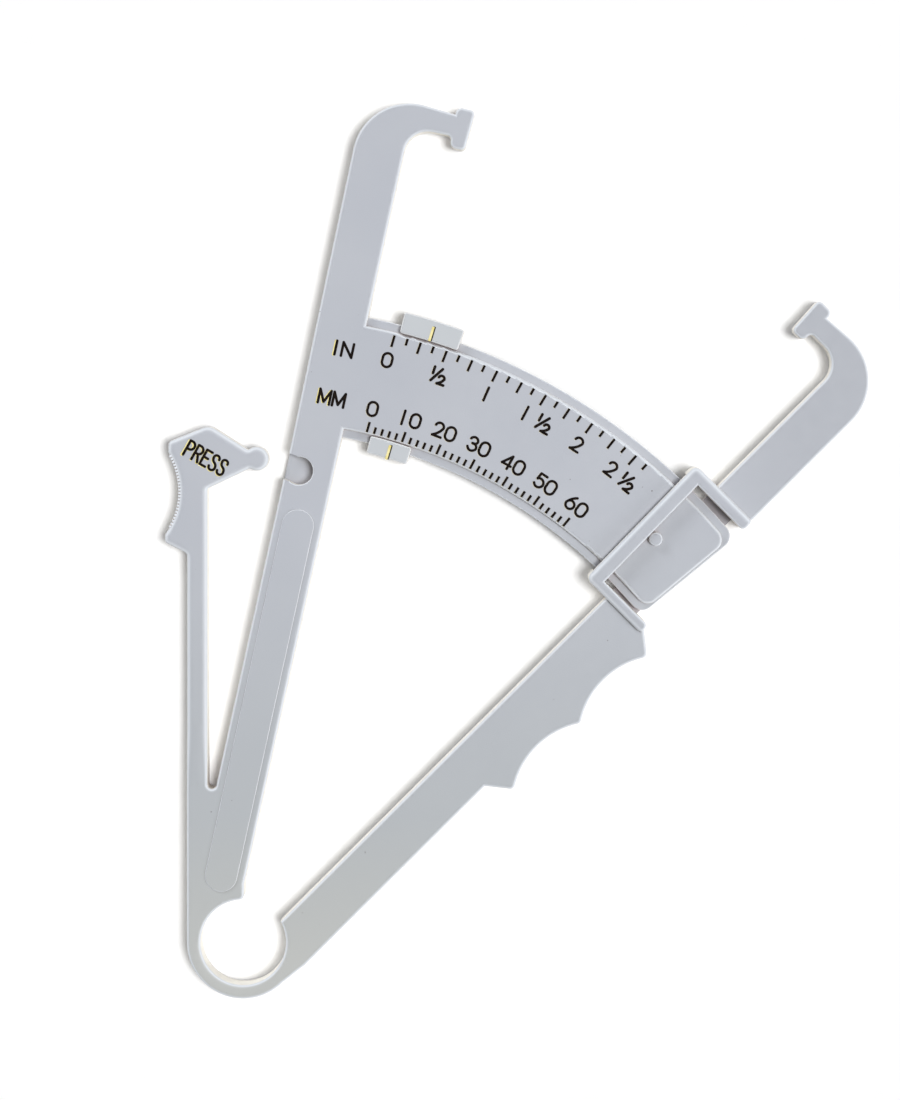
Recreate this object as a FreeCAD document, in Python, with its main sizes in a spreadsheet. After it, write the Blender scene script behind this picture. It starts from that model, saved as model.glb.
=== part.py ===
import FreeCAD, Part
import math
import os

from FreeCAD import Vector

# Skinfold caliper, lying on its back. Two hooked arms and a press lever are one sprung plastic
# moulding; a loose marker slides along its curved scale plate. The moulding is split here where it
# flexes and where its function changes, and the members meet face to face.
#
# Frame: millimetres, +Z out of the printed face, back faces on Z = 0. The origin is the centre of
# the hinge ring, which both arms turn about. Angles lean clockwise from +Y, as the arms do.
# An arm's own frame has Y along the arm from the hinge and X across it; its placement leans it over.

SIZES = [
    # arms and hinge ring
    ("arm_thickness", 5.0),
    ("arm_width", 8.4),
    ("arm_inner_offset", 2.05),      # inner edge of each arm, from the line through the hinge centre
    ("scale_arm_angle", 12.35),
    ("closing_angle", 26.2),         # turn of the guide arm from wide open to jaws shut
    ("hinge_hole_radius", 7.45),
    ("hinge_outer_radius", 9.85),
    ("edge_round", 0.6),
    ("root_knee", 10.0),             # where the scale arm's inner edge turns parallel to the lever
    ("root_corner_round", 0.9),
    # hooked jaws
    ("jaw_face_angle", 3.3),         # lean of a contact foot's face, seen from the hinge centre
    ("jaw_gap_shut", 0.1),
    ("jaw_radius", 147.0),           # hinge centre to the middle of a contact foot
    ("foot_drop", 2.0),              # lower end of a contact foot below the hook's underside
    ("foot_rise", 0.2),              # upper end above the hook's top edge
    ("foot_depth_low", 2.75),
    ("foot_depth_high", 3.35),
    ("foot_face_round", 0.9),
    ("foot_back_round", 1.1),
    ("foot_root_share", 0.9),        # round at a foot's root, in the height left by its back round
    ("hook_bar_height", 5.0),
    ("hook_top_drop", 1.15),         # fall of the hook's top edge towards the foot
    ("hook_outer_radius", 10.0),
    ("throat_radius", 4.2),
    # scale plate
    ("plate_arm_margin", 2.6),       # arm carried past the plate's edges at each side
    ("upper_arm_flare", 0.5),        # the scale arm is this much wider at its hook than below the plate
    ("face_inner_radius", 91.4),
    ("face_width", 18.45),
    ("flange_width", 1.5),
    ("flange_thickness", 1.7),
    ("flange_round", 0.25),
    ("flange_end_width", 0.4),
    ("plate_lift", 2.1),             # back of the plate above the back of the arms
    ("plate_angle", 38.0),           # sweep of the plate from the scale arm's line
    ("plate_corner_radius", 2.2),
    ("peg_radius", 1.2),
    ("peg_height", 1.3),
    ("peg_inset", 9.4),              # middle of the peg, from the face's inner edge
    ("peg_round", 0.4),
    # guide frame
    ("frame_gap_inner", 0.65),       # lower wall to the plate's inner flange, on the arm's line
    ("frame_gap_outer", 1.25),
    ("frame_wall", 1.9),
    ("frame_upper_wall", 2.35),
    ("bar_width", 2.75),
    ("bar_turn", 1.05),              # radius that the bar lies along, back from the arm's line
    ("bar_clearance", 0.25),
    ("bar_thickness", 1.8),
    ("frame_corner_round", 1.25),
    ("frame_tip_round", 0.8),
    ("frame_outer_round", 1.15),
    ("frame_inner_round", 0.5),
    ("floor_clearance", 0.2),
    ("floor_reach", 8.0),
    ("running_clearance", 0.06),
    # finger rest
    ("finger_pitch", 16.4),
    ("finger_drop", 2.15),           # tip of the last lobe below the guide frame
    ("finger_rise", 4.0),
    ("scallop_depth", 2.5),
    ("finger_slope", 3.2),
    ("finger_tip_round", 0.9),
    # press lever
    ("lever_width", 3.6),
    ("lever_round", 1.0),
    ("slot_bottom", 27.6),
    ("flexure_length", 10.4),
    ("pivot_rise", 6.1),             # turning point above the slot's bottom
    ("press_angle", 8.5),            # turn that brings the ball to the recess's middle
    ("ball_radius", 2.1),
    ("ball_root_round", 0.5),
    ("ball_reach", 10.4),            # ball centre, to the right of the lever's pivot
    ("ball_drop", 2.8),              # and below the piece of arm that carries the plate
    ("ball_lift", 2.0),              # back of the ball, so that it clears the recess's floor
    ("recess_clearance", 0.35),
    ("mouth_clearance", 0.2),
    ("recess_floor", 1.8),
    ("recess_round", 0.3),
    ("grip_root_drop", 1.95),        # foot of the grip below its lower tip
    ("grip_low_land", 1.35),         # edge left between the thumb hollow and each tip
    ("grip_high_land", 2.0),
    ("grip_low_reach", 3.9),         # tips beyond the lever's left edge
    ("grip_high_reach", 3.25),
    ("grip_tip_round", 0.9),
    ("hollow_radius", 12.6),
    ("hollow_drop", 5.7),            # middle of the hollow below the ball's centre
    ("hollow_offset", 1.35),         # deepest point, beyond the lever's left edge
    ("apex_reach", 8.3),             # corners of the lever's head, to the left of the ball's centre
    ("apex_rise", 5.85),
    ("apex_round", 2.4),
    ("neck_top_reach", 1.6),
    ("neck_top_rise", 1.6),
    ("neck_bottom_reach", 1.2),
    ("neck_bottom_drop", 1.72),
    ("heel_drop", 5.25),
    ("heel_round", 0.6),
    ("neck_length", 3.0),            # part of the neck that is thinned like the ball
    # raised panel
    ("panel_width", 5.65),
    ("panel_offset", 6.25),
    ("panel_bottom", 7.8),
    ("panel_top_drop", 11.3),        # below the piece of arm that carries the plate
    ("panel_height", 0.25),
    ("panel_round", 0.15),
    # marker
    ("marker_reading", 3.0),         # degrees that the marker stands above zero
    ("marker_clearance", 0.12),
    ("marker_rest_gap", 0.08),       # degrees between the marker at zero and the scale arm
    ("marker_upper_end", 2.9),       # right ends of the tabs, from the marker's middle line
    ("marker_lower_end", 1.85),
    ("marker_lower_lag", 0.7),       # lower index line behind the upper one
    ("marker_corner_round", 0.4),
    ("marker_round", 0.3),
    ("marker_upper_depth", 3.85),
    ("marker_lower_depth", 3.2),
    ("marker_front", 5.35),
    ("marker_back_margin", 0.4),     # degrees that the strip behind the plate stays inside the tabs
    ("marker_back_lift", 0.35),
    # ink
    ("ink_thickness", 0.04),
    ("inch_zero_angle", 14.0),
    ("inch_step_angle", 1.245),      # one eighth of an inch
    ("millimetre_zero_angle", 13.65),
    ("millimetre_step_angle", 0.797),  # two millimetres
    ("tick_width", 0.44),
    ("tick_lean", 2.5),
    ("inch_tick_inset", 0.55),       # prints on the plate, from the nearer edge of its face
    ("inch_tick_long", 2.1),
    ("inch_tick_short", 1.25),
    ("millimetre_tick_inset", 0.33),
    ("millimetre_tick_long", 1.85),
    ("millimetre_tick_short", 1.2),
    ("numeral_height", 2.88),
    ("numeral_stroke", 0.46),
    ("label_stroke", 0.46),
    ("fraction_stroke", 0.49),
    ("inch_numeral_inset", 5.05),
    ("millimetre_numeral_inset", 4.5),
    ("inch_label_inset", 4.85),
    ("millimetre_label_inset", 4.8),
    ("label_offset", 5.2),           # labels to the left of the line through the hinge centre
    ("press_text_height", 3.25),
    ("press_text_lean", 29.5),
    ("press_text_reach", 8.8),       # middle of the word, to the left of the ball's centre
    ("press_text_rise", 0.1),
    ("press_text_width", 0.79),      # letters condensed to this share of their width
    ("index_length", 2.6),
    ("index_offset", 0.2),           # upper index line past the marker's middle line, in degrees
    ("index_inset", 0.5),            # index lines, inwards from the middle of their tabs
]

doc = FreeCAD.newDocument("SkinfoldCaliper")
sheet = doc.addObject("Spreadsheet::Sheet", "Sizes")
for row, (alias, number) in enumerate(SIZES, start=1):
    sheet.set(f"A{row}", alias)
    sheet.set(f"B{row}", str(number))
    sheet.setAlias(f"B{row}", alias)
doc.recompute()


def size(alias):
    return float(sheet.get(alias))


# ---------------------------------------------------------------- shared sizes

HAIR = 1e-3                          # lengths closer than this are the same
ORIGIN = Vector(0, 0, 0)
X_AXIS = Vector(1, 0, 0)
Y_AXIS = Vector(0, 1, 0)
THICKNESS = size("arm_thickness")
INNER = size("arm_inner_offset")
OUTER = INNER + size("arm_width")
GUIDE_ANGLE_TEXT = "Sizes.scale_arm_angle + 2 * Sizes.jaw_face_angle + Sizes.closing_angle"
GUIDE_ANGLE = size("scale_arm_angle") + 2 * size("jaw_face_angle") + size("closing_angle")
FACE_INNER = size("face_inner_radius")
FACE_OUTER = FACE_INNER + size("face_width")
FLANGE_INNER = FACE_INNER - size("flange_width")
FLANGE_OUTER = FACE_OUTER + size("flange_width")
PLATE_START = FLANGE_INNER - size("plate_arm_margin")
PLATE_STOP = FLANGE_OUTER + size("plate_arm_margin")
FOOT_LENGTH = size("foot_rise") + size("hook_bar_height") + size("foot_drop")
HOOK_TOP = size("jaw_radius") + FOOT_LENGTH / 2 - size("foot_rise")
FRAME_INNER = FLANGE_INNER - size("frame_gap_inner")
FRAME_OUTER = FLANGE_OUTER + size("frame_gap_outer")
FRAME_START = FRAME_INNER - size("frame_wall")
FRAME_STOP = FRAME_OUTER + size("frame_upper_wall")
LEVER_LEFT = -size("hinge_outer_radius")
LEVER_RIGHT = LEVER_LEFT + size("lever_width")
FLEXURE_TOP = size("slot_bottom") + size("flexure_length")
PIVOT = Vector((LEVER_LEFT + LEVER_RIGHT) / 2, size("slot_bottom") + size("pivot_rise"), 0)
BALL = Vector(PIVOT.x + size("ball_reach"), PLATE_START - size("ball_drop"), 0)


def leaned(angle, across, along):
    """The point that lies across and along a line leaning clockwise from +Y by an angle."""
    lean = math.radians(angle)
    return Vector(across * math.cos(lean) + along * math.sin(lean),
                  along * math.cos(lean) - across * math.sin(lean), 0)


def turned(point, centre, clockwise):
    """A point turned clockwise about a centre."""
    arm = point - centre
    return centre + leaned(clockwise, arm.x, arm.y)


# ---------------------------------------------------------------- drawing helpers

def side(start, end):
    return Part.LineSegment(start, end)


def outline(*corners):
    """Closed outline through corners (x, y) or (x, y, radius), rounded where a radius is given."""
    ends = []
    for i, corner in enumerate(corners):
        here = Vector(corner[0], corner[1], 0)
        radius = corner[2] if len(corner) > 2 else 0
        if not radius:
            ends.append((here, None, here))
            continue
        before = Vector(*corners[i - 1][:2], 0)
        after = Vector(*corners[(i + 1) % len(corners)][:2], 0)
        back = (before - here).normalize()
        ahead = (after - here).normalize()
        half = back.getAngle(ahead) / 2
        setback = radius / math.tan(half)
        middle = (back + ahead).normalize()
        crown = here + middle * (radius / math.sin(half) - radius)
        ends.append((here + back * setback, crown, here + ahead * setback))
    edges = []
    for i, (first, crown, last) in enumerate(ends):
        if crown:
            edges.append(Part.Arc(first, crown, last))
        following = ends[(i + 1) % len(ends)][0]
        if (following - last).Length > HAIR:
            edges.append(side(last, following))
    return edges


def rectangle(left, bottom, right, top):
    return outline((left, bottom), (right, bottom), (right, top), (left, top))


def circle(centre, radius):
    return [Part.Circle(centre, Vector(0, 0, 1), radius)]


def arc(radius, first, last):
    """An arc about the origin between two clockwise lean angles."""
    return Part.Arc(leaned(first, 0, radius), leaned((first + last) / 2, 0, radius),
                    leaned(last, 0, radius))


def sector(inner, outer, first, last):
    """Part of a ring about the origin, between two clockwise lean angles."""
    return [arc(inner, first, last), side(leaned(last, 0, inner), leaned(last, 0, outer)),
            arc(outer, last, first), side(leaned(first, 0, outer), leaned(first, 0, inner))]


def new_body(name, lean=None):
    body = doc.addObject("PartDesign::Body", name)
    body.Label = name
    if lean:
        body.Placement.Rotation.Axis = Vector(0, 0, 1)
        body.setExpression("Placement.Rotation.Angle", f"-({lean})")
    return body


def new_sketch(body, name, edges, level=None):
    """A sketch on the body's own XY plane, or that far above it."""
    sketch = body.newObject("Sketcher::SketchObject", name)
    plane = next(o for o in body.Origin.OriginFeatures if o.Role == "XY_Plane")
    sketch.AttachmentSupport = [(plane, "")]
    sketch.MapMode = "FlatFace"
    sketch.addGeometry(edges, False)
    if level:
        sketch.setExpression("AttachmentOffset.Base.z", level)
    return sketch


def pad(body, name, edges, length, level=None):
    feature = body.newObject("PartDesign::Pad", name)
    feature.Profile = new_sketch(body, name + "_outline", edges, level)
    feature.setExpression("Length", length)
    doc.recompute()
    return feature


def pocket(body, name, edges, length, level=None):
    """Cuts upwards from the sketch's level by a length."""
    before = body.Shape.Volume
    feature = body.newObject("PartDesign::Pocket", name)
    feature.Profile = new_sketch(body, name + "_outline", edges, level)
    feature.Reversed = True
    feature.setExpression("Length", length)
    doc.recompute()
    if body.Shape.Volume >= before:
        raise RuntimeError(f"{name} cuts nothing")
    return feature


def round_edges(body, name, chosen, radius="Sizes.edge_round"):
    """Fillets the edges of the body's last feature that the rule picks."""
    base = body.Tip
    picked = [f"Edge{i}" for i, edge in enumerate(base.Shape.Edges, start=1) if chosen(edge)]
    feature = body.newObject("PartDesign::Fillet", name)
    feature.Base = (base, picked)
    feature.setExpression("Radius", radius)
    doc.recompute()
    return feature


def lies_flat(edge, level):
    return abs(edge.BoundBox.ZMin - level) < HAIR and abs(edge.BoundBox.ZMax - level) < HAIR


def rim(edge, *seams):
    """True for the front and back edges of an arm, but not along its seams with its neighbours.

    A seam is (point, direction) in the body's own plane."""
    if not (lies_flat(edge, 0) or lies_flat(edge, THICKNESS)):
        return False
    first, last = edge.ParameterRange
    points = [edge.valueAt(first), edge.valueAt((first + last) / 2), edge.valueAt(last)]
    for place, along in seams:
        across = Vector(-along.y, along.x, 0).normalize()
        if all(abs((Vector(p.x, p.y, 0) - place).dot(across)) < HAIR for p in points):
            return False
    return True


def upright_on(edge, centre, radius):
    """True for an edge that stands straight up on a circle."""
    box = edge.BoundBox
    upright = box.ZLength > HAIR > box.XLength + box.YLength
    return upright and abs(math.hypot(box.Center.x - centre.x, box.Center.y - centre.y) - radius) < HAIR


def upright_at(edge, spots):
    """True for an edge that stands straight up at one of the spots."""
    return any(upright_on(edge, spot, 0) for spot in spots)


# ---------------------------------------------------------------- hinge ring

# The spring: a C that runs from the scale arm's root, under the hinge centre, to the guide arm.
def make_hinge_ring():
    body = new_body("hinge_ring")
    ring = sector(size("hinge_hole_radius"), size("hinge_outer_radius"), GUIDE_ANGLE + 90, 270)
    pad(body, "ring", ring, "Sizes.arm_thickness")
    guide_end = leaned(GUIDE_ANGLE, 1, 0)
    round_edges(body, "ring_rounds", lambda e: rim(e, (ORIGIN, X_AXIS), (ORIGIN, guide_end)))
    return body


# ---------------------------------------------------------------- scale arm

# Lower scale arm, with the block that the ring and the lever grow from, the round recess that
# takes the lever's ball, and the raised panel.
def make_scale_arm():
    lean = size("scale_arm_angle")
    left_top = leaned(lean, -OUTER, PLATE_START)
    right_top = leaned(lean, -INNER, PLATE_START)
    knee = leaned(lean, -INNER, size("root_knee"))
    slot_bottom = size("slot_bottom")
    left_edge = leaned(lean, -OUTER, 0)
    slot_right = left_edge.x + (slot_bottom - left_edge.y) * math.tan(math.radians(lean))
    body = new_body("scale_arm")
    arm = outline((LEVER_LEFT, 0), (LEVER_LEFT, slot_bottom), (slot_right, slot_bottom),
                  (left_top.x, left_top.y), (right_top.x, right_top.y), (knee.x, knee.y), (knee.x, 0))
    pad(body, "arm", arm, "Sizes.arm_thickness")
    pocket(body, "hinge_hole", circle(ORIGIN, size("hinge_hole_radius")), "Sizes.arm_thickness")
    slot_end = Vector((LEVER_RIGHT + slot_right) / 2, slot_bottom, 0)
    pocket(body, "slot_end", circle(slot_end, (slot_right - LEVER_RIGHT) / 2), "Sizes.arm_thickness")
    root_corner = Vector(knee.x, math.sqrt(size("hinge_hole_radius") ** 2 - knee.x ** 2), 0)
    round_edges(body, "root_corner", lambda e: upright_at(e, [root_corner]), "Sizes.root_corner_round")
    seams = [(ORIGIN, X_AXIS), (left_top, right_top - left_top)]
    root = (Vector(LEVER_LEFT, slot_bottom, 0), X_AXIS)
    round_edges(body, "arm_rounds", lambda e: rim(e, root, *seams))

    # the ball's path ends at the recess's centre, and the mouth is open along that path
    centre = turned(BALL, PIVOT, size("press_angle"))
    radius = size("ball_radius") + size("recess_clearance")
    mouth = size("ball_radius") + size("mouth_clearance")
    reach = (centre - PIVOT).normalize()
    ahead = Vector(reach.y, -reach.x, 0)
    depth = "Sizes.arm_thickness - Sizes.recess_floor"
    pocket(body, "recess", circle(centre, radius), depth, "Sizes.recess_floor")
    run = size("arm_width")
    corners = [centre + reach * mouth, centre - reach * mouth,
               centre - reach * mouth - ahead * run, centre + reach * mouth - ahead * run]
    pocket(body, "recess_mouth", outline(*[(p.x, p.y) for p in corners]), depth, "Sizes.recess_floor")

    def on_recess(edge):
        spot = edge.valueAt(sum(edge.ParameterRange) / 2)
        return abs((Vector(spot.x, spot.y, 0) - centre).Length - radius) < HAIR

    round_edges(body, "recess_rounds", lambda e: lies_flat(e, THICKNESS) and on_recess(e),
                "Sizes.recess_round")

    # a stadium along the arm
    half = size("panel_width") / 2
    low = size("panel_bottom") + half
    high = PLATE_START - size("panel_top_drop") - half
    offset = -size("panel_offset")
    ends = [leaned(lean, offset - half, low), leaned(lean, offset - half, high),
            leaned(lean, offset, high + half), leaned(lean, offset + half, high),
            leaned(lean, offset + half, low), leaned(lean, offset, low - half)]
    stadium = [side(ends[0], ends[1]), Part.Arc(ends[1], ends[2], ends[3]),
               side(ends[3], ends[4]), Part.Arc(ends[4], ends[5], ends[0])]
    pad(body, "panel", stadium, "Sizes.panel_height", "Sizes.arm_thickness")
    front = THICKNESS + size("panel_height")
    round_edges(body, "panel_rounds", lambda e: lies_flat(e, front), "Sizes.panel_round")
    return body


# ---------------------------------------------------------------- jaws

def flared(along):
    """How far the upper scale arm's outer edge has moved outwards at a height along the arm."""
    return size("upper_arm_flare") * (along - PLATE_START) / (HOOK_TOP - PLATE_START)


# A jaw continues its arm, hooks over towards the other arm and ends in a T-shaped contact foot.
# Drawn for the scale arm; the guide arm's is its mirror image.
def make_jaw(name, lean, hand, start, start_flare, top_flare):
    foot_low = size("jaw_radius") - FOOT_LENGTH / 2
    foot_high = size("jaw_radius") + FOOT_LENGTH / 2
    underside = HOOK_TOP - size("hook_bar_height")
    face = math.tan(math.radians(size("jaw_face_angle")))
    gap = size("jaw_gap_shut") / 2
    back_low = foot_low * face - gap - size("foot_depth_low")
    back_high = foot_high * face - gap - size("foot_depth_high")
    root_round = size("foot_root_share") * (size("foot_drop") - size("foot_back_round"))
    corners = [
        (-OUTER - start_flare, start), (-OUTER - top_flare, HOOK_TOP, size("hook_outer_radius")),
        (back_high, HOOK_TOP - size("hook_top_drop")),
        (back_high, foot_high, size("foot_back_round")),
        (foot_high * face - gap, foot_high, size("foot_face_round")),
        (foot_low * face - gap, foot_low, size("foot_face_round")),
        (back_low, foot_low, size("foot_back_round")),
        (back_low, underside, root_round),
        (-INNER, underside, size("throat_radius")), (-INNER, start),
    ]
    body = new_body(name, lean)
    hook = outline(*[(hand * c[0],) + c[1:] for c in corners])
    pad(body, name + "_hook", hook, "Sizes.arm_thickness")
    round_edges(body, name + "_rounds", lambda e: rim(e, (Vector(0, start, 0), X_AXIS)))
    return body


# ---------------------------------------------------------------- scale plate

# The plate is a stepped arc about the hinge centre: a wide flange at the back, and the narrower
# printed face in front of it, flush with the arm. The peg on it stops the guide frame.
def make_scale_plate():
    body = new_body("scale_plate", "Sizes.scale_arm_angle")
    arm = outline((-OUTER, PLATE_START), (-INNER, PLATE_START), (-INNER, PLATE_STOP),
                  (-OUTER - flared(PLATE_STOP), PLATE_STOP))
    pad(body, "plate_arm", arm, "Sizes.arm_thickness")
    end = size("plate_angle")
    overhang = math.degrees(size("flange_end_width") / FACE_INNER)
    root = -math.degrees(math.asin((INNER + OUTER) / 2 / FLANGE_OUTER))
    pad(body, "flange", sector(FLANGE_INNER, FLANGE_OUTER, root, end + overhang),
        "Sizes.flange_thickness", "Sizes.plate_lift")
    pad(body, "face", sector(FACE_INNER, FACE_OUTER, root, end),
        "Sizes.arm_thickness - Sizes.plate_lift - Sizes.flange_thickness",
        "Sizes.plate_lift + Sizes.flange_thickness")
    tips = [leaned(end + overhang, 0, FLANGE_INNER), leaned(end + overhang, 0, FLANGE_OUTER),
            leaned(end, 0, FACE_INNER), leaned(end, 0, FACE_OUTER)]
    round_edges(body, "plate_corners", lambda e: upright_at(e, tips), "Sizes.plate_corner_radius")
    flange_front = size("plate_lift") + size("flange_thickness")
    round_edges(body, "flange_rounds", lambda e: lies_flat(e, flange_front) and on_flange_rim(e),
                "Sizes.flange_round")
    seams = [(Vector(0, PLATE_START, 0), X_AXIS), (Vector(0, PLATE_STOP, 0), X_AXIS)]
    round_edges(body, "plate_rounds", lambda e: rim(e, *seams))
    return body


def on_flange_rim(edge):
    """True for the two long edges of the flange."""
    middle = edge.valueAt(sum(edge.ParameterRange) / 2)
    radius = math.hypot(middle.x, middle.y)
    return min(abs(radius - FLANGE_INNER), abs(radius - FLANGE_OUTER)) < HAIR


def make_stop_peg():
    body = new_body("stop_peg", GUIDE_ANGLE_TEXT + " - Sizes.bar_turn")
    across = size("bar_width") / 2 + size("running_clearance") + size("peg_radius")
    along = math.sqrt((FACE_INNER + size("peg_inset")) ** 2 - across ** 2)
    pad(body, "peg", circle(Vector(across, along, 0), size("peg_radius")), "Sizes.peg_height",
        "Sizes.arm_thickness")
    round_edges(body, "peg_crown", lambda e: lies_flat(e, THICKNESS + size("peg_height")),
                "Sizes.peg_round")
    return body


# ---------------------------------------------------------------- guide arm

FINGER_LOBES = 3


# Lower guide arm, with the finger lobes along its outer edge.
def make_guide_arm():
    body = new_body("guide_arm", GUIDE_ANGLE_TEXT)
    pitch = size("finger_pitch")
    last = FRAME_START - size("finger_drop")
    tip = OUTER + size("finger_rise")
    bottom = tip - size("scallop_depth")
    slope = size("finger_slope")
    tips = [Vector(tip, last - i * pitch, 0) for i in reversed(range(FINGER_LOBES))]
    dips = [Vector(bottom, p.y + pitch / 2, 0) for p in tips[:-1]]
    foot = Vector(OUTER, tips[0].y - slope, 0)
    head = Vector(OUTER, last + slope, 0)
    ring_end = Vector(size("hinge_outer_radius"), 0, 0)
    run_out = Vector(OUTER, size("hinge_outer_radius") / 2, 0)
    points = [Vector(INNER, 0, 0), ring_end, run_out, foot, tips[0]]
    edges = [side(a, b) for a, b in zip(points, points[1:])]
    edges += [Part.Arc(a, dip, b) for a, dip, b in zip(tips, dips, tips[1:])]
    points = [tips[-1], head, Vector(OUTER, FRAME_START, 0), Vector(INNER, FRAME_START, 0),
              Vector(INNER, 0, 0)]
    edges += [side(a, b) for a, b in zip(points, points[1:]) if (b - a).Length > HAIR]
    pad(body, "guide", edges, "Sizes.arm_thickness")
    pocket(body, "guide_hinge_hole", circle(ORIGIN, size("hinge_hole_radius")), "Sizes.arm_thickness")
    round_edges(body, "finger_tips", lambda e: upright_at(e, tips), "Sizes.finger_tip_round")

    def below_frame(edge):
        return edge.BoundBox.YMin < FRAME_START - HAIR

    round_edges(body, "guide_rounds", lambda e: below_frame(e) and rim(e, (ORIGIN, X_AXIS)))
    return body


def bar_edge(hand, along):
    """A point on the bar's left (-1) or right (1) edge, at a height along the guide arm."""
    turn = math.radians(size("bar_turn"))
    return Vector(hand * size("bar_width") / 2 / math.cos(turn) - along * math.tan(turn), along, 0)


# The frame that the scale plate runs through: a bar in front of the plate, a wall past each edge
# of it, and a thin floor behind it. It is open to the right. The bar is parallel to the scale lines.
def make_guide_frame():
    body = new_body("guide_frame", GUIDE_ANGLE_TEXT)
    height = "Sizes.arm_thickness + Sizes.bar_clearance + Sizes.bar_thickness"

    def wall(low, high):
        starts = [bar_edge(-1, low), bar_edge(-1, high)]
        return outline((starts[0].x, low), (OUTER, low), (OUTER, high), (starts[1].x, high))

    pad(body, "lower_wall", wall(FRAME_START, FRAME_INNER), height)
    pad(body, "floor", rectangle(INNER, FRAME_START, size("floor_reach"), FRAME_STOP),
        "Sizes.plate_lift - Sizes.floor_clearance")
    pad(body, "upper_wall", wall(FRAME_OUTER, FRAME_STOP), height)
    bar = [bar_edge(-1, FRAME_START), bar_edge(1, FRAME_START), bar_edge(1, FRAME_STOP),
           bar_edge(-1, FRAME_STOP)]
    pad(body, "bar", outline(*[(p.x, p.y) for p in bar]), "Sizes.bar_thickness",
        "Sizes.arm_thickness + Sizes.bar_clearance")
    front = THICKNESS + size("bar_clearance") + size("bar_thickness")
    corners = [bar[0], bar[-1]]
    round_edges(body, "frame_corners", lambda e: upright_at(e, corners), "Sizes.frame_corner_round")
    tips = [Vector(OUTER, FRAME_INNER, 0), Vector(OUTER, FRAME_OUTER, 0)]
    round_edges(body, "frame_tips", lambda e: upright_at(e, tips), "Sizes.frame_tip_round")

    def outside(edge):
        spot = edge.valueAt(sum(edge.ParameterRange) / 2)
        beside_bar = spot.x < bar_edge(-1, spot.y).x + size("frame_corner_round")
        return beside_bar or min(abs(spot.y - FRAME_START), abs(spot.y - FRAME_STOP)) < HAIR

    round_edges(body, "frame_outer_rounds", lambda e: lies_flat(e, front) and outside(e),
                "Sizes.frame_outer_round")
    round_edges(body, "frame_inner_rounds", lambda e: lies_flat(e, front) and not outside(e),
                "Sizes.frame_inner_round")
    return body


# ---------------------------------------------------------------- press lever

# A cantilever beside the scale arm. Its root flexes; pressing the grip swings the ball into the
# recess, which shows that the right force is on the skinfold.
def make_lever_flexure():
    body = new_body("lever_flexure")
    strip = rectangle(LEVER_LEFT, size("slot_bottom"), LEVER_RIGHT, FLEXURE_TOP)
    pad(body, "strip", strip, "Sizes.arm_thickness")
    seams = [(Vector(0, size("slot_bottom"), 0), X_AXIS), (Vector(0, FLEXURE_TOP, 0), X_AXIS)]
    round_edges(body, "strip_rounds", lambda e: rim(e, *seams))
    return body


def height_at(first, last, x):
    """Height at x of the line through two points."""
    return first.y + (last.y - first.y) * (x - first.x) / (last.x - first.x)


def make_press_lever():
    body = new_body("press_lever")
    tip_round = size("grip_tip_round")
    radius = size("hollow_radius")
    centre = Vector(LEVER_LEFT - size("hollow_offset") - radius, BALL.y - size("hollow_drop"), 0)
    low_x = LEVER_LEFT - size("grip_low_reach")
    low_y = centre.y - math.sqrt(radius ** 2 - (low_x - centre.x) ** 2) - size("grip_low_land")
    high_x = LEVER_LEFT - size("grip_high_reach")
    high_y = centre.y + math.sqrt(radius ** 2 - (high_x - centre.x) ** 2) + size("grip_high_land")
    apex = BALL + Vector(-size("apex_reach"), size("apex_rise"), 0)
    neck_top = BALL + Vector(-size("neck_top_reach"), size("neck_top_rise"), 0)
    neck_bottom = BALL - Vector(size("neck_bottom_reach"), size("neck_bottom_drop"), 0)
    heel = Vector(LEVER_RIGHT, BALL.y - size("heel_drop"), 0)
    neck_x = BALL.x - size("neck_length")
    grip = outline(
        (LEVER_LEFT, FLEXURE_TOP), (LEVER_LEFT, low_y - size("grip_root_drop"), tip_round),
        (low_x, low_y, tip_round), (high_x, high_y, tip_round),
        (apex.x, apex.y, size("apex_round")), (neck_x, height_at(apex, neck_top, neck_x)),
        (neck_x, height_at(heel, neck_bottom, neck_x)), (heel.x, heel.y, size("heel_round")),
        (LEVER_RIGHT, FLEXURE_TOP))
    pad(body, "grip", grip, "Sizes.arm_thickness")
    pocket(body, "thumb_hollow", circle(centre, radius), "Sizes.arm_thickness")
    round_edges(body, "grip_tips", lambda e: upright_on(e, centre, radius), "Sizes.grip_tip_round")
    neck = outline(
        (neck_x, height_at(apex, neck_top, neck_x)), (BALL.x, height_at(apex, neck_top, BALL.x)),
        (BALL.x, height_at(heel, neck_bottom, BALL.x)), (neck_x, height_at(heel, neck_bottom, neck_x)))
    depth = "Sizes.arm_thickness - Sizes.ball_lift"
    pad(body, "neck", neck, depth, "Sizes.ball_lift")
    ball_radius = size("ball_radius")
    pad(body, "ball", circle(BALL, ball_radius), depth, "Sizes.ball_lift")
    round_edges(body, "ball_root", lambda e: upright_on(e, BALL, ball_radius), "Sizes.ball_root_round")
    seams = [(Vector(0, FLEXURE_TOP, 0), X_AXIS), (Vector(neck_x, 0, 0), Y_AXIS)]
    round_edges(body, "lever_rounds", lambda e: rim(e, *seams), "Sizes.lever_round")
    return body


# ---------------------------------------------------------------- marker

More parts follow.
